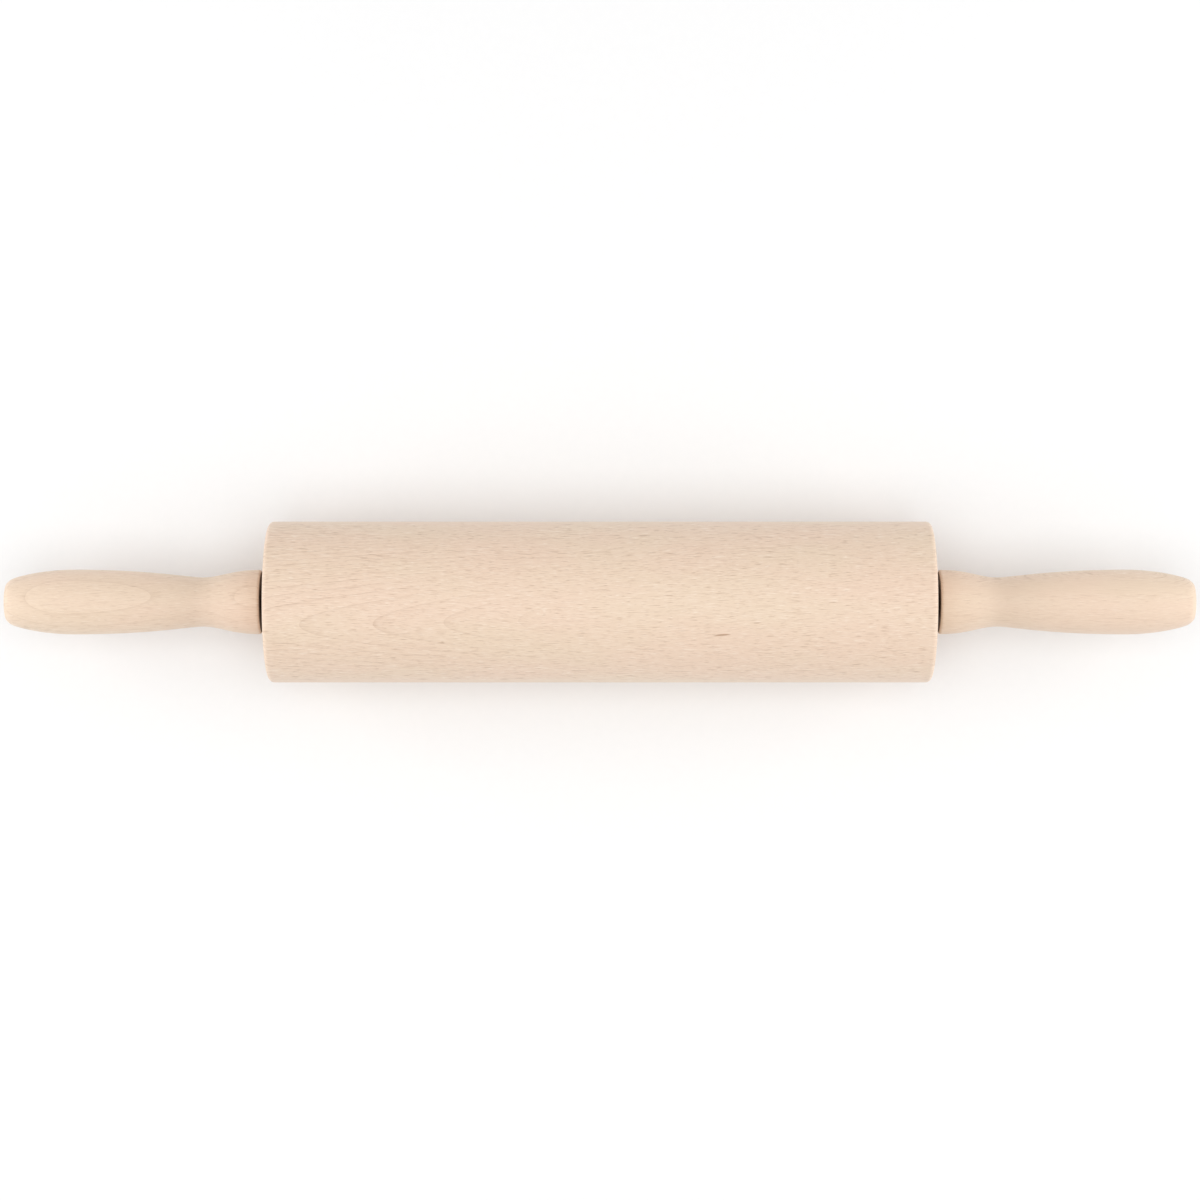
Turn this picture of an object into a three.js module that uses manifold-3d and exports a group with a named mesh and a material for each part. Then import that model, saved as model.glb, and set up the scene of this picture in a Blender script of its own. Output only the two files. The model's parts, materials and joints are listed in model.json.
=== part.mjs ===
// A beech rolling pin. Its barrel turns on two shielded ball bearings, which sit in the barrel's ends.
// A steel axle runs right through the barrel and is glued into a turned handle at each end.
// Millimetres, +Z up. The axle lies along X, and the origin is the middle of the barrel on its axis.

import * as THREE from "three";
import { mergeVertices } from "three/addons/utils/BufferGeometryUtils.js";
import Module from "manifold-3d";

// Barrel
const BARREL_DIAMETER = 60;
const BARREL_LENGTH = 246.6;
const BARREL_EDGE_ROUND = 2;
const AXLE_CLEARANCE = 1.25;

// Handle: a round-edged collar next to the barrel, a waist, a belly and a flat tip with a rounded edge
const HANDLE_GAP = 2.8;
const HANDLE_LENGTH = 95.2;
const COLLAR_DIAMETER = 24;
const COLLAR_EDGE_ROUND = 1.2;
const WAIST_DIAMETER = 18.4;
const WAIST_FROM_COLLAR = 22;
const BELLY_DIAMETER = 24.2;
const BELLY_FROM_TIP = 25.4;
const TIP_RIM_DIAMETER = 16.5;
const TIP_RIM_SLOPE = 0.8;
const TIP_EDGE_DEPTH = 1.5;
const TIP_FLAT_DIAMETER = 13.5;

// How far each end of a curve of the handle's outline runs on in its own direction, as a share of the curve
const COLLAR_PULL = 0.48;
const WAIST_PULL_TO_COLLAR = 0.31;
const WAIST_PULL_TO_BELLY = 0.11;
const BELLY_PULL_TO_WAIST = 0.59;
const BELLY_PULL_TO_TIP = 0.5;
const TIP_PULL = 0.06;

// Axle, with grooves that key the glue inside each handle
const AXLE_GRIP = 45;
const AXLE_END_CHAMFER = 0.8;
const AXLE_END_SPACE = 1;
const GLUE_GROOVE_COUNT = 3;
const GLUE_GROOVE_WIDTH = 1.6;
const GLUE_GROOVE_DEPTH = 0.4;

// Bearing: the common size with an 8 mm bore, two grooved rings, a crown cage of balls and two shields
const BEARING_BORE = 8;
const BEARING_OUTSIDE = 22;
const BEARING_WIDTH = 7;
const RING_CHAMFER = 0.3;
const BALL_DIAMETER = 3.969;
const BALL_COUNT = 7;
const RACE_DEPTH = 0.7;
const SHIELD_THICKNESS = 0.3;
const SHIELD_DISH = 0.25;
const SHIELD_SEAT_WIDTH = 0.9;
const CAGE_THICKNESS = 1.4;
const CAGE_BACK = 0.35;
const CAGE_REACH = 0.9;

// Bearing seat in the barrel's end, and the spacer that holds the handle off the barrel
const BEARING_RECESS = 0.6;
const BEARING_SHOULDER = 2;
const BEARING_RELIEF = 1;
const SPACER_WALL = 1.6;
const SPACER_CHAMFER = 0.3;

// Clearances: pressed or glued faces, balls in their races and pockets, shield edge round the inner ring
const PRESS_GAP = 0.1;
const BALL_GAP = 0.15;
const SHIELD_GAP = 0.25;

// Number of flats round each turned piece, and of points along a curve of its outline
const BARREL_SIDES = 48;
const HANDLE_SIDES = 32;
const STEEL_SIDES = 24;
const POCKET_SIDES = 16;
const BALL_DETAIL = 1;
const CURVE_STEPS = 6;
const GROOVE_STEPS = 3;
const EDGE_STEPS = 2;

// Derived places and radii
const axleRadius = BEARING_BORE / 2;
const boreRadius = axleRadius + PRESS_GAP;
const collarX = BARREL_LENGTH / 2 + HANDLE_GAP;
const tipX = collarX + HANDLE_LENGTH;
const axleEndX = collarX + AXLE_GRIP;
const bearingFaceX = BARREL_LENGTH / 2 - BEARING_RECESS;
const bearingX = bearingFaceX - BEARING_WIDTH / 2;
const bearingHalfWidth = BEARING_WIDTH / 2;
const pitchRadius = (BEARING_BORE + BEARING_OUTSIDE) / 4;
const grooveRadius = BALL_DIAMETER / 2 + BALL_GAP;
const grooveHalfAngle = Math.acos(1 - RACE_DEPTH / grooveRadius);
const innerShoulder = pitchRadius - grooveRadius + RACE_DEPTH;
const outerShoulder = pitchRadius + grooveRadius - RACE_DEPTH;
const shieldSeatRadius = outerShoulder + SHIELD_SEAT_WIDTH;
const shieldSeatDepth = SHIELD_THICKNESS + SHIELD_DISH + PRESS_GAP;

// Finishes
const beech = new THREE.MeshStandardMaterial({ color: 0xe8cbae, roughness: 0.6, metalness: 0 });
const axleSteel = new THREE.MeshStandardMaterial({ color: 0xb4b7ba, roughness: 0.35, metalness: 1 });
const ringSteel = new THREE.MeshStandardMaterial({ color: 0xc6c8ca, roughness: 0.25, metalness: 1 });
const ballSteel = new THREE.MeshStandardMaterial({ color: 0xd4d6d8, roughness: 0.12, metalness: 1 });
const shieldSteel = new THREE.MeshStandardMaterial({ color: 0xa9acaf, roughness: 0.4, metalness: 1 });
const nylon = new THREE.MeshStandardMaterial({ color: 0x2a2622, roughness: 0.55, metalness: 0 });

const wasm = await Module();
wasm.setup();

// A named piece of the pin.
function piece(name, geometry, material) {
  const mesh = new THREE.Mesh(geometry, material);
  mesh.name = name;
  return mesh;
}

// A body turned about X. The outline's points are (place along X, radius), and run along X outside.
// A flat of the body, not a corner, looks straight down.
function turned(outline, sides, curveSteps) {
  const profile = outline.getPoints(curveSteps).map((point) => new THREE.Vector2(point.y, point.x));
  const geometry = new THREE.LatheGeometry(profile, sides, Math.PI / sides);
  return geometry.rotateZ(-Math.PI / 2);
}

// A closed geometry as a solid that can be cut.
function solidOf(geometry) {
  const bare = geometry.clone();
  bare.deleteAttribute("normal");
  bare.deleteAttribute("uv");
  const merged = mergeVertices(bare);
  const vertProperties = new Float32Array(merged.attributes.position.array);
  const triVerts = new Uint32Array(merged.index.array);
  return new wasm.Manifold(new wasm.Mesh({ numProp: 3, vertProperties, triVerts }));
}

// A geometry with the cutters' shapes taken away.
function cut(geometry, cutters) {
  const solid = cutters.reduce((rest, cutter) => rest.subtract(solidOf(cutter)), solidOf(geometry));
  const mesh = solid.getMesh();
  const result = new THREE.BufferGeometry();
  result.setAttribute("position", new THREE.BufferAttribute(mesh.vertProperties, 3));
  result.setIndex(new THREE.BufferAttribute(mesh.triVerts, 1));
  result.computeVertexNormals();
  return result;
}

// The barrel: a round-edged roller with a bearing seat in each end, a relief behind the seat that
// keeps the inner ring clear of the wood, and a bore that the axle passes through without touching.
function barrel() {
  const half = BARREL_LENGTH / 2;
  const outside = BARREL_DIAMETER / 2 / Math.cos(Math.PI / BARREL_SIDES);
  const seatRadius = BEARING_OUTSIDE / 2 + PRESS_GAP;
  const seatX = bearingFaceX - BEARING_WIDTH - PRESS_GAP;
  const reliefRadius = BEARING_OUTSIDE / 2 - BEARING_SHOULDER;
  const reliefX = seatX - BEARING_RELIEF;
  const edge = half - BARREL_EDGE_ROUND;
  const edgeRadius = outside - BARREL_EDGE_ROUND;
  const throughRadius = axleRadius + AXLE_CLEARANCE;
  const outline = new THREE.Path();
  outline.moveTo(-seatX, seatRadius);
  outline.lineTo(-half, seatRadius);
  outline.absarc(-edge, edgeRadius, BARREL_EDGE_ROUND, Math.PI, Math.PI / 2, true);
  outline.absarc(edge, edgeRadius, BARREL_EDGE_ROUND, Math.PI / 2, 0, true);
  outline.lineTo(half, seatRadius);
  outline.lineTo(seatX, seatRadius);
  outline.lineTo(seatX, reliefRadius);
  outline.lineTo(reliefX, reliefRadius);
  outline.lineTo(reliefX, throughRadius);
  outline.lineTo(-reliefX, throughRadius);
  outline.lineTo(-reliefX, reliefRadius);
  outline.lineTo(-seatX, reliefRadius);
  outline.closePath();
  return turned(outline, BARREL_SIDES, EDGE_STEPS);
}

// The axle: a plain rod with chamfered ends and a row of glue grooves inside each handle.
function axle() {
  const grooveBottom = axleRadius - GLUE_GROOVE_DEPTH;
  const groovePitch = AXLE_GRIP / (GLUE_GROOVE_COUNT + 1);
  const outline = new THREE.Path();
  outline.moveTo(-axleEndX, 0);
  outline.lineTo(-axleEndX, axleRadius - AXLE_END_CHAMFER);
  outline.lineTo(-axleEndX + AXLE_END_CHAMFER, axleRadius);
  for (const end of [-1, 1]) {
    for (let groove = 1; groove <= GLUE_GROOVE_COUNT; groove += 1) {
      const place = end < 0 ? GLUE_GROOVE_COUNT + 1 - groove : groove;
      const middle = end * (collarX + groovePitch * place);
      outline.lineTo(middle - GLUE_GROOVE_WIDTH / 2, axleRadius);
      outline.lineTo(middle, grooveBottom);
      outline.lineTo(middle + GLUE_GROOVE_WIDTH / 2, axleRadius);
    }
  }
  outline.lineTo(axleEndX - AXLE_END_CHAMFER, axleRadius);
  outline.lineTo(axleEndX, axleRadius - AXLE_END_CHAMFER);
  outline.lineTo(axleEndX, 0);
  return turned(outline, STEEL_SIDES, 1);
}

// The right handle, from the bottom of its blind bore round the outside to the middle of its flat tip.
function handle() {
  const boreEndX = axleEndX + AXLE_END_SPACE;
  const waistX = collarX + WAIST_FROM_COLLAR;
  const bellyX = tipX - BELLY_FROM_TIP;
  const rimX = tipX - TIP_EDGE_DEPTH;
  const neckX = collarX + COLLAR_EDGE_ROUND;
  const neckRun = waistX - neckX;
  const gripRun = bellyX - waistX;
  const noseRun = rimX - bellyX;
  const collar = COLLAR_DIAMETER / 2;
  const waist = WAIST_DIAMETER / 2;
  const belly = BELLY_DIAMETER / 2;
  const rim = TIP_RIM_DIAMETER / 2;
  const outline = new THREE.Path();
  outline.moveTo(boreEndX, 0);
  outline.lineTo(boreEndX, boreRadius);
  outline.lineTo(collarX, boreRadius);
  outline.lineTo(collarX, collar - COLLAR_EDGE_ROUND);
  outline.quadraticCurveTo(collarX, collar, neckX, collar);
  outline.bezierCurveTo(
    neckX + COLLAR_PULL * neckRun, collar,
    waistX - WAIST_PULL_TO_COLLAR * neckRun, waist,
    waistX, waist,
  );
  outline.bezierCurveTo(
    waistX + WAIST_PULL_TO_BELLY * gripRun, waist,
    bellyX - BELLY_PULL_TO_WAIST * gripRun, belly,
    bellyX, belly,
  );
  outline.bezierCurveTo(
    bellyX + BELLY_PULL_TO_TIP * noseRun, belly,
    rimX - TIP_PULL * noseRun, rim + TIP_RIM_SLOPE * TIP_PULL * noseRun,
    rimX, rim,
  );
  outline.quadraticCurveTo(tipX, rim - TIP_RIM_SLOPE * TIP_EDGE_DEPTH, tipX, TIP_FLAT_DIAMETER / 2);
  outline.lineTo(tipX, 0);
  return turned(outline, HANDLE_SIDES, CURVE_STEPS);
}

// The spacer: a sleeve on the axle between the inner ring's face and the handle's collar.
function spacer() {
  const left = bearingFaceX + PRESS_GAP;
  const right = collarX - PRESS_GAP;
  const outside = boreRadius + SPACER_WALL;
  const outline = new THREE.Path();
  outline.moveTo(left, boreRadius);
  outline.lineTo(left, outside - SPACER_CHAMFER);
  outline.lineTo(left + SPACER_CHAMFER, outside);
  outline.lineTo(right - SPACER_CHAMFER, outside);
  outline.lineTo(right, outside - SPACER_CHAMFER);
  outline.lineTo(right, boreRadius);
  outline.closePath();
  return turned(outline, STEEL_SIDES, 1);
}

// The bearing's inner ring, with the balls' groove round its outside.
function innerRing() {
  const half = bearingHalfWidth;
  const outline = new THREE.Path();
  outline.moveTo(-half, boreRadius);
  outline.lineTo(-half, innerShoulder - RING_CHAMFER);
  outline.lineTo(-half + RING_CHAMFER, innerShoulder);
  outline.absarc(0, pitchRadius, grooveRadius, -Math.PI / 2 - grooveHalfAngle, -Math.PI / 2 + grooveHalfAngle);
  outline.lineTo(half - RING_CHAMFER, innerShoulder);
  outline.lineTo(half, innerShoulder - RING_CHAMFER);
  outline.lineTo(half, boreRadius);
  outline.closePath();
  return turned(outline, STEEL_SIDES, GROOVE_STEPS);
}

// The bearing's outer ring, with the balls' groove inside it and a stepped seat for each shield.
function outerRing() {
  const half = bearingHalfWidth;
  const outside = BEARING_OUTSIDE / 2;
  const seat = half - shieldSeatDepth;
  const outline = new THREE.Path();
  outline.moveTo(-half, shieldSeatRadius);
  outline.lineTo(-half, outside - RING_CHAMFER);
  outline.lineTo(-half + RING_CHAMFER, outside);
  outline.lineTo(half - RING_CHAMFER, outside);
  outline.lineTo(half, outside - RING_CHAMFER);
  outline.lineTo(half, shieldSeatRadius);
  outline.lineTo(seat, shieldSeatRadius);
  outline.lineTo(seat, outerShoulder);
  outline.absarc(0, pitchRadius, grooveRadius, Math.PI / 2 - grooveHalfAngle, Math.PI / 2 + grooveHalfAngle);
  outline.lineTo(-seat, outerShoulder);
  outline.lineTo(-seat, shieldSeatRadius);
  outline.closePath();
  return turned(outline, STEEL_SIDES, GROOVE_STEPS);
}

// The shield on the bearing's +X face: a thin pressed disc, seated in the outer ring and dished
// outwards to lie flush with the face, with a free edge round the inner ring.
function shield() {
  const back = bearingHalfWidth - SHIELD_THICKNESS - SHIELD_DISH;
  const front = back + SHIELD_THICKNESS;
  const free = innerShoulder + SHIELD_GAP;
  const seated = shieldSeatRadius - PRESS_GAP;
  const dishTop = (free + seated + SHIELD_DISH) / 2;
  const dishFoot = (free + seated - SHIELD_DISH) / 2;
  const outline = new THREE.Path();
  outline.moveTo(back + SHIELD_DISH, free);
  outline.lineTo(back + SHIELD_DISH, dishFoot);
  outline.lineTo(back, dishTop);
  outline.lineTo(back, seated);
  outline.lineTo(front, seated);
  outline.lineTo(front, dishTop);
  outline.lineTo(front + SHIELD_DISH, dishFoot);
  outline.lineTo(front + SHIELD_DISH, free);
  outline.closePath();
  return turned(outline, STEEL_SIDES, 1);
}

// The angle of one ball round the bearing.
function ballAngle(index) {
  return (2 * Math.PI * index) / BALL_COUNT;
}

// The crown cage: a ring whose round pockets, one for each ball, are open on the +X side.
function cage() {
  const back = -grooveRadius - CAGE_BACK;
  const inside = pitchRadius - CAGE_THICKNESS / 2;
  const outside = pitchRadius + CAGE_THICKNESS / 2;
  const outline = new THREE.Path();
  outline.moveTo(back, inside);
  outline.lineTo(back, outside);
  outline.lineTo(CAGE_REACH, outside);
  outline.lineTo(CAGE_REACH, inside);
  outline.closePath();
  const pockets = [];
  for (let index = 0; index < BALL_COUNT; index += 1) {
    const pocket = new THREE.CylinderGeometry(grooveRadius, grooveRadius, 2 * CAGE_THICKNESS, POCKET_SIDES);
    pocket.translate(0, pitchRadius, 0);
    pocket.rotateX(ballAngle(index));
    pockets.push(pocket);
  }
  return cut(turned(outline, STEEL_SIDES, 1), pockets);
}

// One ball of the bearing, in the middle of its pocket.
function ball(name, index) {
  const mesh = piece(name, new THREE.IcosahedronGeometry(BALL_DIAMETER / 2, BALL_DETAIL), ballSteel);
  const angle = ballAngle(index);
  mesh.position.set(0, pitchRadius * Math.cos(angle), pitchRadius * Math.sin(angle));
  return mesh;
}

// The bearing in the right end of the barrel.
function bearing(side) {
  const group = new THREE.Group();
  group.add(piece(`${side}_bearing_outer_ring`, outerRing(), ringSteel));
  group.add(piece(`${side}_bearing_inner_ring`, innerRing(), ringSteel));
  group.add(piece(`${side}_bearing_cage`, cage(), nylon));
  for (let index = 0; index < BALL_COUNT; index += 1) {
    group.add(ball(`${side}_bearing_ball_${index + 1}`, index));
  }
  group.add(piece(`${side}_bearing_outer_shield`, shield(), shieldSteel));
  const innerShield = piece(`${side}_bearing_inner_shield`, shield(), shieldSteel);
  innerShield.rotation.z = Math.PI;
  group.add(innerShield);
  group.position.x = bearingX;
  return group;
}

// Everything at one end of the pin apart from the barrel and axle, modelled at the right end.
function endOf(side) {
  const group = new THREE.Group();
  group.add(piece(`${side}_handle`, handle(), beech));
  group.add(piece(`${side}_spacer`, spacer(), nylon));
  group.add(bearing(side));
  return group;
}

const rightEnd = endOf("right");
const leftEnd = endOf("left");
leftEnd.rotation.z = Math.PI;

const rollingPin = new THREE.Group();
rollingPin.name = "rolling_pin";
rollingPin.add(piece("barrel", barrel(), beech));
rollingPin.add(piece("axle", axle(), axleSteel));
rollingPin.add(rightEnd);
rollingPin.add(leftEnd);

export default rollingPin;
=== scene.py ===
"""A pale beech rolling pin that lies on a white floor and is seen from straight above.

The turned pieces are lathed again, finely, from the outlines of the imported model's own solids.
Lengths are in metres. Inside a wood material they are in millimetres.
"""

import json
import math

import bmesh
import bpy
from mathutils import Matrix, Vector


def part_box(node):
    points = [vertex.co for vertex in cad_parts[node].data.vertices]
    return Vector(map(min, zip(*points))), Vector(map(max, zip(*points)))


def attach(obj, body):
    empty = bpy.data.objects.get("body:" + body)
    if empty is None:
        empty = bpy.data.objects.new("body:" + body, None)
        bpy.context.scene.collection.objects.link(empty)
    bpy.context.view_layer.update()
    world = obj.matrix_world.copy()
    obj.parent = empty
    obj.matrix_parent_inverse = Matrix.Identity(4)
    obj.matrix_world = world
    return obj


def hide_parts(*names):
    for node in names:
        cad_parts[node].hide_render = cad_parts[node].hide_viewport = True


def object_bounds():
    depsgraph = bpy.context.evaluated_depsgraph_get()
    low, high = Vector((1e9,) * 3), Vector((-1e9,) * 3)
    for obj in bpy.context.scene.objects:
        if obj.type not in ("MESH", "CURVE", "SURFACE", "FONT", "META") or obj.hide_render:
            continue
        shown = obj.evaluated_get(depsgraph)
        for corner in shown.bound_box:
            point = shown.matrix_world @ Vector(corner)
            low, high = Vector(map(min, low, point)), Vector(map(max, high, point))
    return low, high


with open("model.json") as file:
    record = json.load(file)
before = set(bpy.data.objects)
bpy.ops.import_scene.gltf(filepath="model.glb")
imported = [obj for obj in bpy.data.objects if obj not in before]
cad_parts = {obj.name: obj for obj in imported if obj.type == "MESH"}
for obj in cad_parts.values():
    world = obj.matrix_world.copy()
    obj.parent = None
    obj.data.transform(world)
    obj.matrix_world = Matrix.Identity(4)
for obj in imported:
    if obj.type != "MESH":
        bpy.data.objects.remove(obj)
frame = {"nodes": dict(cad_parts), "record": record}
cad_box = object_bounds()

SIDES = ("left", "right")
SIGNS = (-1, 1)
MM = 0.001
WHITE = (1, 1, 1, 1)

# The photograph's view: straight down, with the pin's middle a little below the middle of the picture
PHOTO_PX = 1200
FOCAL_PX = 3216
PIN_MIDDLE_PX = (600.0, 602.0)
CAMERA_HEIGHT = 1.2
SENSOR_MM = 36

# Outlines: points closer than WELD are one point, points closer than IN_PLANE to a plane lie in it, and a
# sharper bend than CORNER is a corner
WELD = 1e-6
IN_PLANE = 1e-5
CORNER = math.radians(35)
CURVE_STEPS = 5
WOOD_STEP = 0.006
WOOD_SIDES = 224
STEEL_SIDES = 96
BALL_SUBDIVISIONS = 4

# Studio
FLOOR_SIZE = 12.0
SKY_STRENGTH = 0.52
TOP_LIGHT_SIZE = 1.6
TOP_LIGHT_PLACE = (0, -0.2, 1.9)
TOP_LIGHT_WATTS = 13.3
SIDE_LIGHT_SIZE = (1.2, 0.8)
SIDE_LIGHT_DISTANCE = 1.1
SIDE_LIGHT_HEIGHT = 0.42
SIDE_LIGHT_WATTS = 7.0

# Colours, as light reflected in red, green and blue
PINK_BEECH = (0.815, 0.625, 0.487, 1)
YELLOW_BEECH = (0.805, 0.64, 0.49, 1)
PALE_BEECH = (0.93, 0.80, 0.68, 1)
BROWN = (0.36, 0.19, 0.095, 1)
# Dark brown that end faces darken towards: a little as end grain, and on the collars' inner faces mostly as
# painted shade of the narrow gap beside the barrel
END_GRAIN_AND_GAP_SHADE = (0.055, 0.022, 0.008, 1)
DARK_NYLON = (0.012, 0.011, 0.010, 1)
PALE_NYLON = (0.030, 0.028, 0.026, 1)
DARK_PAPER = (0.90, 0.90, 0.90, 1)
PALE_PAPER = (0.92, 0.92, 0.92, 1)

# Beech noise: each step of a piece's seed moves it by this, and broad noise is drawn out along the grain
SEED_STEP = (170.0, 90.0, 50.0)
DRAWN_OUT = (0.4, 1.0, 1.0)
BLOTCH_SCALE = 0.05
BLOTCH_RANGE = (0.3, 0.7)

# Marks of rays and fibres, in millimetres along the grain, round the rays' line and outwards from it
LONG_RAY = (4.6, 0.24, 8.0)
SHORT_RAY = (2.2, 0.2, 5.0)
FIBRE = (9.0, 0.5, 0.5)
# Short rays are drawn from a seed that is this much higher
SHORT_RAY_SEED = 4.7
# Noise below the first pair makes dark rays and noise above the second makes pale ones
DARK_RAY = (0.36, 0.2)
PALE_RAY = (0.64, 0.8)
# The shades of long and of short rays
DARK_RAY_SHADES = (0.36, 0.26)
PALE_RAY_SHADES = (0.5, 0.5)
# Rays drift widely and sway a little: how many times a millimetre, and how many millimetres
RAY_SWAYS = ((0.021, 6.0), (0.24, 0.35))
# A face cut along the rays shows them faintly: they fade between these shares of a full quarter cut
QUARTER_CUT = (0.95, 0.995)
QUARTER_CUT_SHARE = 0.35

# A growth ring darkens slowly by a share, and then quickly at its edge
RING_SLOW_POWER = 3.0
RING_SLOW_SHARE = 0.3
RING_EDGE_POWER = 16.0
# Rings wander this many times a millimetre, and by this many ring widths
RING_WANDER_SCALE = 0.03
RING_WANDER = 0.5
# They are fainter in patches
RING_PATCH_SCALE = 0.045
RING_PATCH_RANGE = (0.35, 0.6)
RING_PATCH_SHADE = (0.65, 1.0)
# They show more towards -x: they fade between these two places along the pin
RING_FADE = (-85.0, 0.0)

# End grain, and the painted shade of the gap on the collars' inner faces, shows on faces that look along the
# grain: it comes in between these two cosines
END_FACING = (0.95, 0.995)
PORE_SCALE = 5.0
PORE_RANGE = (0.3, 0.75)
PORE_SHADE = (0.85, 1.0)

# A mineral streak is a long oval. It is darkest where the squares of a point's shares of its half length
# and half width add up to less than this
STREAK_CORE = 0.15
STREAK_SHADE = 0.72

# Beech's surface. Its shine and its sheen are each given for its sides and then for its ends
FIBRE_RANGE = (0.35, 0.7)
FIBRE_SHADE = 0.05
FIBRE_HEIGHT = 0.5
DARK_HEIGHT = -0.6
BEECH_BUMP = 0.25
BEECH_DEPTH = 0.12 * MM
BEECH_ROUGHNESS_RANGE = (0.3, 0.8)
BEECH_ROUGHNESS = (0.5, 0.66)
BEECH_SHINE = (0.5, 0.05)
BEECH_SHEEN = (0.16, 0.0)

# Steel's tool marks: the share of its colour that they keep, how far they change its roughness either way
# and how strongly they catch the light
MARK_SHADE = 0.86
MARK_RANGE = (0.25, 0.75)
MARK_ROUGHNESS = 0.06
MARK_BUMP = 0.2

# Nylon's grain and paper's tooth. Their scales are times a metre
NYLON_SCALE = 2500.0
NYLON_ROUGHNESS = (0.45, 0.6)
NYLON_BUMP = 0.1
NYLON_DEPTH = 0.05 * MM
PAPER_SCALE = 300.0
PAPER_ROUGHNESS = (0.85, 0.95)
GRAIN_RANGE = (0.3, 0.7)


def outline_of(node):
    """The outline that a turned node was made from: its (x, radius) points in order, and if it closes."""
    mesh = bmesh.new()
    mesh.from_mesh(frame["nodes"][node].data)
    bmesh.ops.remove_doubles(mesh, verts=mesh.verts, dist=WELD)
    radius = {vert: math.hypot(vert.co.y, vert.co.z) for vert in mesh.verts}
    widest = max(mesh.verts, key=radius.get)
    across = widest.co.yz.normalized()
    in_plane = {vert for vert in mesh.verts if (vert.co.yz - across * radius[vert]).length < IN_PLANE}
    near = {
        vert: [edge.other_vert(vert) for edge in vert.link_edges if edge.other_vert(vert) in in_plane]
        for vert in in_plane
    }
    on_axis = sorted((vert for vert in in_plane if radius[vert] < WELD), key=lambda vert: vert.co.x)
    closed = not on_axis
    walk = [widest if closed else on_axis[0]]
    while True:
        ahead = [vert for vert in near[walk[-1]] if vert not in walk]
        if not ahead:
            break
        walk.append(ahead[0])
    points = [Vector((vert.co.x, radius[vert])) for vert in walk]
    mesh.free()
    pairs = zip(points, points[1:] + points[:1])
    turn = sum(here.x * there.y - there.x * here.y for here, there in pairs)
    # All outlines run clockwise
    if turn > 0:
        points.reverse()
    return points, closed


def heading(points, closed, index):
    """The outline's direction at a gentle bend, or None at a corner and at the ends of an open outline."""
    count = len(points)
    if not closed and index in (0, count - 1):
        return None
    before = points[index] - points[index - 1]
    after = points[(index + 1) % count] - points[index]
    if before.angle(after) > CORNER:
        return None
    return (before + after).normalized()


def on_curve(start, leave, end, arrive, t):
    """The point at t, from 0 to 1, of the curve that leaves start and arrives at end with these speeds."""
    return (
        start * (2 * t ** 3 - 3 * t ** 2 + 1)
        + leave * (t ** 3 - 2 * t ** 2 + t)
        + end * (3 * t ** 2 - 2 * t ** 3)
        + arrive * (t ** 3 - t ** 2)
    )


def rounded(points, closed, step):
    """The outline with its gentle bends made round and no stretch longer than step. Corners stay, and
    no point lies farther out than the outline's own points."""
    count = len(points)
    first_x = min(point.x for point in points)
    last_x = max(point.x for point in points)
    widest = max(point.y for point in points)
    fine = []
    for index in range(count if closed else count - 1):
        following = (index + 1) % count
        start = points[index]
        end = points[following]
        run = end - start
        leave = heading(points, closed, index)
        arrive = heading(points, closed, following)
        curved = leave is not None or arrive is not None
        leave = (leave or run.normalized()) * run.length
        arrive = (arrive or run.normalized()) * run.length
        steps = max(CURVE_STEPS if curved else 1, math.ceil(run.length / step))
        fine += [on_curve(start, leave, end, arrive, part / steps) for part in range(steps)]
    if not closed:
        fine.append(points[-1])
    return [Vector((min(max(point.x, first_x), last_x), min(point.y, widest))) for point in fine]


def lathed(outline, closed, sides):
    """The vertices and faces of an outline turned about X. A point on the axis stays one vertex."""
    verts = []
    rings = []
    for x, radius in outline:
        first = len(verts)
        if radius < WELD:
            verts.append((x, 0, 0))
            rings.append([first] * sides)
            continue
        for side in range(sides):
            angle = 2 * math.pi * side / sides
            verts.append((x, radius * math.sin(angle), radius * math.cos(angle)))
        rings.append(list(range(first, first + sides)))
    faces = []
    for here, there in zip(rings, rings[1:] + rings[:1] if closed else rings[1:]):
        for side in range(sides):
            after = (side + 1) % sides
            corners = [here[side], there[side], there[after], here[after]]
            face = list(dict.fromkeys(corners))
            if len(face) > 2:
                faces.append(face)
    return verts, faces


def turned(name, outline, closed, sides):
    """A smooth object turned about X from an outline."""
    verts, faces = lathed(outline, closed, sides)
    mesh = bpy.data.meshes.new(name)
    mesh.from_pydata(verts, [], faces)
    mesh.validate()
    shell = bmesh.new()
    shell.from_mesh(mesh)
    bmesh.ops.recalc_face_normals(shell, faces=shell.faces)
    shell.to_mesh(mesh)
    shell.free()
    mesh.shade_smooth()
    mesh.set_sharp_from_angle(angle=CORNER)
    return shown(name, mesh)


def shown(name, mesh):
    """A mesh as an object of the scene."""
    made = bpy.data.objects.new(name, mesh)
    bpy.context.scene.collection.objects.link(made)
    return made


def body_of(node):
    """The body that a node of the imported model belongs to."""
    bodies = frame["record"]["behaviour"]["bodies"]
    return next(body for body, members in bodies.items() if node in members)


def dress(piece, material):
    """Gives a piece one material and no other."""
    piece.data.materials.clear()
    piece.data.materials.append(material)


def stand_for(piece, node, material):
    """Dresses a piece, and puts it in a node's place on that node's body."""
    dress(piece, material)
    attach(piece, body_of(node))
    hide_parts(node)


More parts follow.
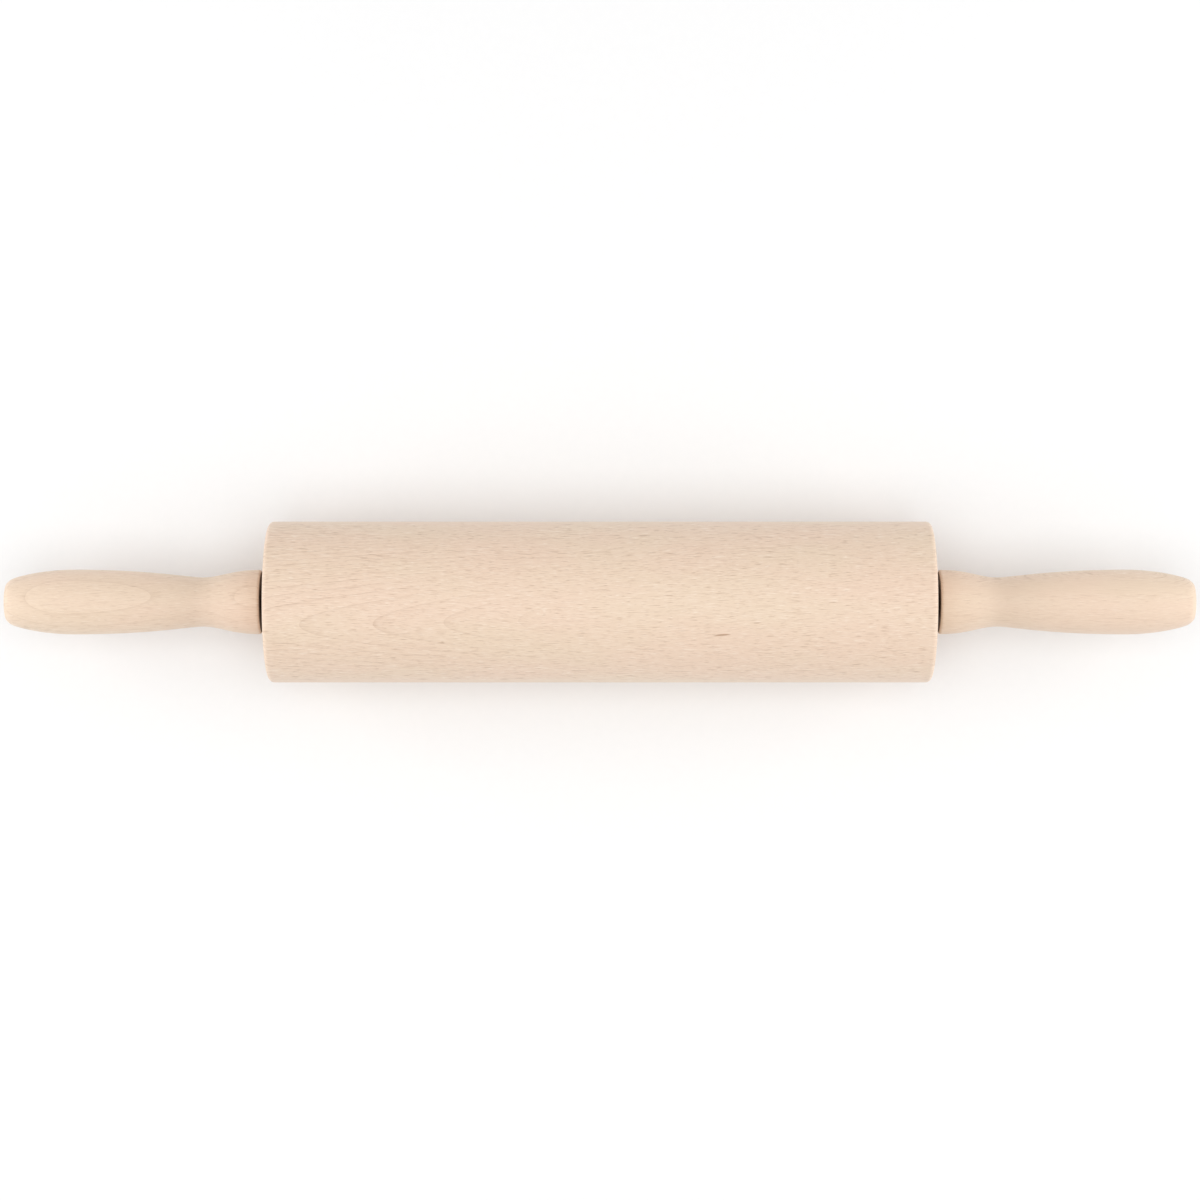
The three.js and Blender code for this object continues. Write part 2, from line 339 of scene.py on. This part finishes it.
class Graph:
    """The nodes of one material. Most methods add a node, wire its inputs and return its output."""

    def __init__(self, name):
        self.material = bpy.data.materials.new(name)
        self.material.use_nodes = True
        self.tree = self.material.node_tree
        self.shader = self.tree.nodes["Principled BSDF"]

    def feed(self, socket, value):
        if isinstance(value, bpy.types.NodeSocket):
            self.tree.links.new(value, socket)
        else:
            socket.default_value = value

    def add(self, kind, inputs, output=0, **settings):
        node = self.tree.nodes.new(kind)
        for key, value in settings.items():
            setattr(node, key, value)
        for key, value in inputs.items():
            self.feed(node.inputs[key], value)
        return node.outputs[output]

    def finish_with(self, **inputs):
        for key, value in inputs.items():
            self.feed(self.shader.inputs[key.replace("_", " ")], value)
        return self.material

    def math(self, operation, *values):
        return self.add("ShaderNodeMath", dict(enumerate(values)), operation=operation)

    def vector(self, operation, *values):
        return self.add("ShaderNodeVectorMath", dict(enumerate(values)), operation=operation)

    def scale(self, vector, factor):
        return self.add("ShaderNodeVectorMath", {0: vector, "Scale": factor}, operation="SCALE")

    def join(self, x, y, z):
        return self.add("ShaderNodeCombineXYZ", {0: x, 1: y, 2: z})

    def split(self, vector):
        return self.add("ShaderNodeSeparateXYZ", {0: vector}).node.outputs

    def ramp(self, value, low, high, to_low=0.0, to_high=1.0):
        inputs = {"Value": value, "From Min": low, "From Max": high, "To Min": to_low, "To Max": to_high}
        return self.add("ShaderNodeMapRange", inputs, interpolation_type="SMOOTHSTEP")

    def noise(self, where, scale=1.0, detail=2.0, roughness=0.5):
        inputs = {"Vector": where, "Scale": scale, "Detail": detail, "Roughness": roughness}
        return self.add("ShaderNodeTexNoise", inputs)

    def mix(self, share, first, second):
        inputs = {"Factor": share, 6: first, 7: second}
        return self.add("ShaderNodeMix", inputs, output=2, data_type="RGBA")

    def place(self, output):
        return self.add("ShaderNodeTexCoord", {}, output=output)

    def bump(self, height, strength, depth):
        inputs = {"Height": height, "Strength": strength, "Distance": depth}
        return self.add("ShaderNodeBump", inputs)


class Log(Graph):
    """The nodes of one piece of solid beech, in millimetres. Growth rings lie round the pith, a line through
    (y, z) that leans as x grows, and rays run outwards from a straight line of their own, so that every face
    shows the figure of its own cut."""

    def __init__(self, name, pith, lean, rays, seed):
        super().__init__(name)
        self.seed = seed
        spot = self.scale(self.place("Object"), 1 / MM)
        self.x, self.y, self.z = self.split(spot)
        self.normal = self.split(self.place("Normal"))
        shifted = self.vector("ADD", spot, tuple(seed * step for step in SEED_STEP))
        self.drawn = self.vector("MULTIPLY", shifted, DRAWN_OUT)
        self.off_pith = self.off_line(pith, lean)[2]
        self.side, self.up, self.reach = self.off_line(rays, (0.0, 0.0))
        self.grain = self.along_grain(math.copysign(1.0, -rays[1]))

    def off_line(self, line, lean):
        """How far aside, how far up and how far in all each point lies from a line."""
        side = self.math("SUBTRACT", self.y, self.math("MULTIPLY_ADD", self.x, lean[0], line[0]))
        up = self.math("SUBTRACT", self.z, self.math("MULTIPLY_ADD", self.x, lean[1], line[1]))
        squares = self.math("ADD", self.math("POWER", side, 2.0), self.math("POWER", up, 2.0))
        return side, up, self.math("SQRT", squares)

    def broad(self, scale):
        """Smooth noise, drawn out along the grain."""
        return self.noise(self.drawn, scale, detail=1.0)

    def along_grain(self, upwards):
        """Each point's place along the grain, round the rays' line and outwards from it. upwards is 1 where
        the piece lies above the line and -1 where it lies below, which keeps the angle's jump off it."""
        aside = self.math("MULTIPLY", self.side, upwards)
        ahead = self.math("MULTIPLY", self.up, upwards)
        across = self.math("MULTIPLY", self.math("ARCTAN2", aside, ahead), self.reach)
        for scale, size in RAY_SWAYS:
            across = self.math("MULTIPLY_ADD", self.broad(scale), size, across)
        return self.join(self.x, across, self.reach)

    def spindles(self, size, seed):
        """Noise drawn out to a size along the grain, round the rays' line and outwards from it."""
        where = self.vector("DIVIDE", self.grain, size)
        return self.noise(self.vector("ADD", where, (seed, 2 * seed, 3 * seed)), detail=0.0)

    def shown_rays(self, fleck):
        """How clearly rays show on each face, according to its cut."""
        round_line = self.math("MULTIPLY", self.normal[1], self.up)
        round_line = self.math("SUBTRACT", round_line, self.math("MULTIPLY", self.normal[2], self.side))
        quarter_cut = self.math("ABSOLUTE", self.math("DIVIDE", round_line, self.reach))
        return self.ramp(quarter_cut, *QUARTER_CUT, fleck, fleck * QUARTER_CUT_SHARE)

    def ray_marks(self, fleck):
        """How dark the dark rays are, and how pale the pale ones."""
        clear = self.shown_rays(fleck)
        rays = (self.spindles(LONG_RAY, self.seed), self.spindles(SHORT_RAY, self.seed + SHORT_RAY_SEED))
        marks = []
        for limits, shades in ((DARK_RAY, DARK_RAY_SHADES), (PALE_RAY, PALE_RAY_SHADES)):
            both = [self.ramp(ray, *limits, 0.0, shade) for ray, shade in zip(rays, shades)]
            marks.append(self.math("MULTIPLY", self.math("ADD", *both), clear))
        return marks

    def ring_marks(self, width, phase, shade):
        """How dark the growth rings are."""
        years = self.math("MULTIPLY_ADD", self.off_pith, 1 / width, phase)
        years = self.math("MULTIPLY_ADD", self.broad(RING_WANDER_SCALE), RING_WANDER, years)
        year = self.math("FRACT", years)
        slow = self.math("POWER", year, RING_SLOW_POWER)
        edge = self.math("POWER", year, RING_EDGE_POWER)
        figure = self.math("MULTIPLY_ADD", slow, RING_SLOW_SHARE, edge)
        clear = self.ramp(self.broad(RING_PATCH_SCALE), *RING_PATCH_RANGE, *RING_PATCH_SHADE)
        clear = self.math("MULTIPLY", clear, self.ramp(self.x, *RING_FADE, *shade))
        return self.math("MULTIPLY", figure, clear)

    def mineral_streak(self, middle, half_length, half_width, slope):
        """How dark one long oval streak on the upper face is."""
        run = self.math("SUBTRACT", self.x, middle[0])
        aside = self.math("SUBTRACT", self.y, self.math("MULTIPLY_ADD", run, slope, middle[1]))
        length = self.math("POWER", self.math("DIVIDE", run, half_length), 2.0)
        width = self.math("POWER", self.math("DIVIDE", aside, half_width), 2.0)
        spindle = self.ramp(self.math("ADD", length, width), 1.0, STREAK_CORE, 0.0, STREAK_SHADE)
        return self.math("MULTIPLY", spindle, self.math("GREATER_THAN", self.z, 0.0))

    def end_faces_and_gap_shade(self, shade):
        """How far each face looks along the grain, and how dark its end face is: end grain, and painted shade
        of the gap on a collar's inner face.
        """
        low, high = END_FACING
        ends = [self.ramp(self.normal[0], sign * low, sign * high) for sign in SIGNS]
        dark = self.math("MULTIPLY", ends[0], shade[0])
        dark = self.math("MULTIPLY_ADD", ends[1], shade[1], dark)
        pores = self.noise(self.join(0.0, self.y, self.z), PORE_SCALE, roughness=0.7)
        dark = self.math("MULTIPLY", dark, self.ramp(pores, *PORE_RANGE, *PORE_SHADE))
        return self.math("ADD", *ends), dark


def beech(name, pith, rays, lean, ring, phase, seed, fleck, ring_shade, end_shade, streak=None):
    """Fine sanded beech. ring is how wide a growth ring is, phase is where in a ring the pith lies, and fleck
    is how strongly rays show. ring_shade is how dark the rings are towards -x and +x, and end_shade how dark
    the faces are that look that way: as end grain, and on a collar's inner face as painted shade of the gap."""
    log = Log(name, pith, lean, rays, seed)
    fibre = log.noise(log.vector("DIVIDE", log.grain, FIBRE), detail=3.0, roughness=0.65)
    dark, pale = log.ray_marks(fleck)
    dark = log.math("ADD", dark, log.ring_marks(ring, phase, ring_shade))
    dark = log.math("MULTIPLY_ADD", log.ramp(fibre, *FIBRE_RANGE), FIBRE_SHADE, dark)
    if streak:
        dark = log.math("MAXIMUM", dark, log.mineral_streak(**streak))
    end_face, end_and_gap_darkening = log.end_faces_and_gap_shade(end_shade)
    blotch = log.ramp(log.noise(log.drawn, BLOTCH_SCALE), *BLOTCH_RANGE)
    tint = log.mix(pale, log.mix(blotch, PINK_BEECH, YELLOW_BEECH), PALE_BEECH)
    height = log.math("MULTIPLY_ADD", fibre, FIBRE_HEIGHT, log.math("MULTIPLY", dark, DARK_HEIGHT))
    return log.finish_with(
        # End faces darken towards the dark brown as end grain, and the collars' inner faces as painted shade
        # of the gap
        Base_Color=log.mix(end_and_gap_darkening, log.mix(dark, tint, BROWN), END_GRAIN_AND_GAP_SHADE),
        Roughness=log.ramp(fibre, *BEECH_ROUGHNESS_RANGE, *BEECH_ROUGHNESS),
        Normal=log.bump(height, BEECH_BUMP, BEECH_DEPTH),
        IOR=1.45,
        Specular_IOR_Level=log.ramp(end_face, 0.0, 1.0, *BEECH_SHINE),
        Sheen_Weight=log.ramp(end_face, 0.0, 1.0, *BEECH_SHEEN),
        Sheen_Roughness=0.5,
    )


def steel(name, colour, roughness, lines, depth):
    """Steel with fine tool marks. lines says how closely they lie along x, y and z, in marks a metre."""
    graph = Graph(name)
    where = graph.vector("MULTIPLY", graph.place("Object"), lines)
    marks = graph.noise(where, detail=3.0, roughness=0.6)
    shade = tuple(MARK_SHADE * value for value in colour[:3]) + (1,)
    smooth = roughness - MARK_ROUGHNESS
    rough = roughness + MARK_ROUGHNESS
    return graph.finish_with(
        Base_Color=graph.mix(marks, shade, colour),
        Metallic=1.0,
        Roughness=graph.ramp(marks, *MARK_RANGE, smooth, rough),
        Normal=graph.bump(marks, MARK_BUMP, depth),
    )


def nylon(name):
    """Black moulded nylon with a faint grain."""
    graph = Graph(name)
    grain = graph.noise(graph.place("Object"), NYLON_SCALE)
    return graph.finish_with(
        Base_Color=graph.mix(grain, DARK_NYLON, PALE_NYLON),
        Roughness=graph.ramp(grain, *GRAIN_RANGE, *NYLON_ROUGHNESS),
        Normal=graph.bump(grain, NYLON_BUMP, NYLON_DEPTH),
    )


def paper(name):
    """Matt white paper with a trace of tooth."""
    graph = Graph(name)
    tooth = graph.noise(graph.place("Object"), PAPER_SCALE)
    return graph.finish_with(
        Base_Color=graph.mix(tooth, DARK_PAPER, PALE_PAPER),
        Roughness=graph.ramp(tooth, *GRAIN_RANGE, *PAPER_ROUGHNESS),
    )


def refine(node, material, sides, step=math.inf):
    """A fine turned piece in the place of a turned node. The barrel becomes as wide as its node is across
    its flats, so that it stays inside the node's box."""
    points, closed = outline_of(node)
    if node == "barrel":
        widest = max(point.y for point in points)
        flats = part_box(node)[1].z / widest
        points = [Vector((point.x, point.y * flats)) for point in points]
    fine = rounded(points, closed, step)
    stand_for(turned(node + "_turned", fine, closed, sides), node, material)


def ball(node, material):
    """A polished ball in the place of a faceted one."""
    low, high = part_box(node)
    shell = bmesh.new()
    bmesh.ops.create_icosphere(shell, subdivisions=BALL_SUBDIVISIONS, radius=(high.x - low.x) / 2)
    bmesh.ops.translate(shell, verts=shell.verts, vec=(low + high) / 2)
    mesh = bpy.data.meshes.new(node + "_polished")
    shell.to_mesh(mesh)
    shell.free()
    mesh.shade_smooth()
    stand_for(shown(mesh.name, mesh), node, material)


def make_barrel():
    material = beech(
        "barrel_beech",
        pith=(-20.0, 93.0),
        rays=(0.0, 500.0),
        lean=(0.08, -0.041),
        ring=1.6,
        phase=0.95,
        seed=1.0,
        fleck=0.97,
        ring_shade=(0.2, 0.03),
        end_shade=(0.3, 0.3),
        streak={"middle": (44.5, -12.0), "half_length": 3.8, "half_width": 0.42, "slope": 0.06},
    )
    refine("barrel", material, WOOD_SIDES, WOOD_STEP)


def make_left_handle():
    material = beech(
        "left_handle_beech",
        pith=(-10.0, -70.0),
        rays=(-10.0, -70.0),
        lean=(0.01, 0.01),
        ring=3.2,
        phase=0.66,
        seed=2.0,
        fleck=0.64,
        ring_shade=(0.13, 0.13),
        # The inner end, at +x, is darkened far past end grain: painted shade of the narrow gap beside the
        # barrel
        end_shade=(0.06, 0.9),
    )
    refine("left_handle", material, WOOD_SIDES, WOOD_STEP)


def make_right_handle():
    material = beech(
        "right_handle_beech",
        pith=(70.0, -25.0),
        rays=(70.0, -25.0),
        lean=(-0.02, 0.01),
        ring=2.2,
        phase=0.5,
        seed=3.0,
        fleck=0.6,
        ring_shade=(0.04, 0.04),
        # The inner end, at -x, is darkened far past end grain: painted shade of the narrow gap beside the
        # barrel
        end_shade=(0.9, 0.06),
    )
    refine("right_handle", material, WOOD_SIDES, WOOD_STEP)


def make_axle():
    material = steel(
        "axle_steel", colour=(0.56, 0.57, 0.58, 1), roughness=0.32, lines=(40, 5000, 5000), depth=0.03 * MM,
    )
    refine("axle", material, STEEL_SIDES)


def make_bearings():
    """The bearings and the spacers beside them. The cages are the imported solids."""
    ring_steel = steel(
        "ring_steel", colour=(0.60, 0.61, 0.62, 1), roughness=0.22, lines=(9000, 400, 400), depth=0.02 * MM,
    )
    ball_steel = steel(
        "ball_steel", colour=(0.68, 0.69, 0.70, 1), roughness=0.12, lines=(900, 900, 900), depth=0.01 * MM,
    )
    shield_steel = steel(
        "shield_steel", colour=(0.50, 0.51, 0.52, 1), roughness=0.36, lines=(3000, 1500, 1500),
        depth=0.02 * MM,
    )
    black_nylon = nylon("black_nylon")
    for side in SIDES:
        refine(f"{side}_spacer", black_nylon, STEEL_SIDES)
        for ring in ("outer", "inner"):
            refine(f"{side}_bearing_{ring}_ring", ring_steel, STEEL_SIDES)
            refine(f"{side}_bearing_{ring}_shield", shield_steel, STEEL_SIDES)
        dress(frame["nodes"][f"{side}_bearing_cage"], black_nylon)
        prefix = f"{side}_bearing_ball_"
        for node in sorted(name for name in frame["nodes"] if name.startswith(prefix)):
            ball(node, ball_steel)


def make_floor():
    half = FLOOR_SIZE / 2
    level = cad_box[0].z
    corners = [(-half, -half, level), (half, -half, level), (half, half, level), (-half, half, level)]
    mesh = bpy.data.meshes.new("floor")
    mesh.from_pydata(corners, [], [(0, 1, 2, 3)])
    floor = shown("floor", mesh)
    dress(floor, paper("white_paper"))


def add_light(name, place, size, watts):
    """A soft rectangular light that looks at the pin and isn't itself seen."""
    light = bpy.data.lights.new(name, "AREA")
    light.shape = "RECTANGLE"
    light.size, light.size_y = size
    light.energy = watts
    made = bpy.data.objects.new(name, light)
    made.location = place
    made.rotation_euler = (-Vector(place)).to_track_quat("-Z", "Y").to_euler()
    made.visible_camera = False
    bpy.context.scene.collection.objects.link(made)


def make_light():
    scene = bpy.context.scene
    scene.world = bpy.data.worlds.new("white_studio")
    scene.world.use_nodes = True
    sky = scene.world.node_tree.nodes["Background"]
    sky.inputs["Color"].default_value = WHITE
    sky.inputs["Strength"].default_value = SKY_STRENGTH
    scene.view_settings.view_transform = "Standard"
    add_light("top_light", TOP_LIGHT_PLACE, (TOP_LIGHT_SIZE, TOP_LIGHT_SIZE), TOP_LIGHT_WATTS)
    for side, sign in zip(SIDES, SIGNS):
        place = (sign * SIDE_LIGHT_DISTANCE, 0, SIDE_LIGHT_HEIGHT)
        add_light("side_light_" + side, place, SIDE_LIGHT_SIZE, SIDE_LIGHT_WATTS)


def make_camera():
    camera = bpy.data.cameras.new("camera")
    camera.sensor_width = SENSOR_MM
    camera.lens = SENSOR_MM * FOCAL_PX / PHOTO_PX
    pixel = CAMERA_HEIGHT / FOCAL_PX
    made = bpy.data.objects.new("camera", camera)
    made.location = (
        (PHOTO_PX / 2 - PIN_MIDDLE_PX[0]) * pixel,
        (PIN_MIDDLE_PX[1] - PHOTO_PX / 2) * pixel,
        CAMERA_HEIGHT,
    )
    bpy.context.scene.collection.objects.link(made)
    bpy.context.scene.camera = made


make_camera()
make_light()
make_floor()
make_barrel()
make_left_handle()
make_right_handle()
make_axle()
make_bearings()

bpy.context.view_layer.update()
